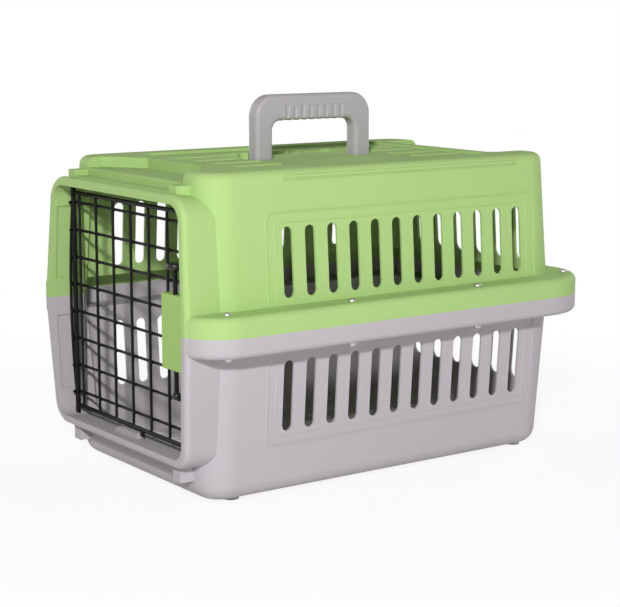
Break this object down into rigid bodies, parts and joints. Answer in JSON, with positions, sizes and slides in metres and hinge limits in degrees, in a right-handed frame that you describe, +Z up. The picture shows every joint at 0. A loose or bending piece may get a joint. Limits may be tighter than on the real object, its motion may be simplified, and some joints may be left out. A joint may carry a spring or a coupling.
{
  "type": "pet travel crate",
  "caption": "Two-shell plastic travel crate for a small pet or bird, with a wire door, a squeeze latch, side vents, a wide bolted rim and a folding carry handle.",
  "frame": {"origin": "on the floor under the middle of the crate's outline", "axes": "+Z up, the door faces -Y, the hinge is on the -X side"},
  "size_m": [0.316, 0.453, 0.3485],
  "materials": {
    "green_shell": "fine satin moulding",
    "grey_shell": "fine satin moulding",
    "grey_handle": "satin moulding",
    "green_latch": "satin moulding",
    "black_wire": "black dip coat",
    "black_rod": "black coat",
    "black_knob": "semi gloss",
    "zinc_screws": "bright zinc",
    "steel_pins": "plain steel",
    "spring_steel": "drawn wire",
    "tongue_steel": "blanked strip"
  },
  "bodies": {
    "crate": {"top_shell": "green_shell", "base_shell": "grey_shell", "rim_screws": "zinc_screws", "rim_nuts": "zinc_screws", "handle_pivot_pins": "steel_pins"},
    "handle": {"carry_handle": "grey_handle"},
    "door": {"hinge_rod": "black_wire", "door_frame_wire": "black_wire", "door_bow_wire": "black_wire", "door_stop_tab": "black_wire", "door_upright_1": "black_wire", "door_upright_2": "black_wire", "door_upright_3": "black_wire", "door_upright_4": "black_wire", "door_upright_5": "black_wire", "door_upright_6": "black_wire", "door_upright_7": "black_wire", "door_cross_wire_1": "black_wire", "door_cross_wire_2": "black_wire", "door_cross_wire_3": "black_wire", "door_cross_wire_4": "black_wire", "door_cross_wire_5": "black_wire", "door_cross_wire_6": "black_wire", "door_cross_wire_7": "black_wire", "door_cross_wire_8": "black_wire", "latch_cover": "green_latch", "latch_back_plate": "green_latch", "latch_screws": "zinc_screws", "latch_spring": "spring_steel"},
    "upper_push": {"latch_upper_plunger": "black_rod", "latch_upper_knob": "black_knob"},
    "lower_push": {"latch_lower_plunger": "black_rod", "latch_lower_knob": "black_knob"},
    "tongue": {"latch_tongue": "tongue_steel"}
  },
  "joints": [
    {"name": "door_hinge", "type": "hinge", "parent": "crate", "child": "door", "pos_m": [-0.107, -0.20565, 0.154], "axis": [0, 0, -1], "range_deg": [0, 90]},
    {"name": "handle_fold", "type": "hinge", "parent": "crate", "child": "handle", "pos_m": [0, -0.0075, 0.2805], "axis": [0, -1, 0], "range_deg": [0, 90]},
    {"name": "latch_squeeze", "type": "slide", "parent": "door", "child": "upper_push", "axis": [0, 0, 1], "range_m": [-0.003, 0.007], "stiffness_N_per_m": 200},
    {"name": "latch_lower_slide", "type": "slide", "parent": "door", "child": "lower_push", "axis": [0, 0, -1], "range_m": [-0.003, 0.007]},
    {"name": "latch_tongue_slide", "type": "slide", "parent": "door", "child": "tongue", "axis": [1, 0, 0], "range_m": [-0.003, 0.007]}
  ],
  "couplings": [
    {"joint": "latch_lower_slide", "follows": "latch_squeeze", "ratio": 1},
    {"joint": "latch_tongue_slide", "follows": "latch_squeeze", "ratio": 1}
  ]
}
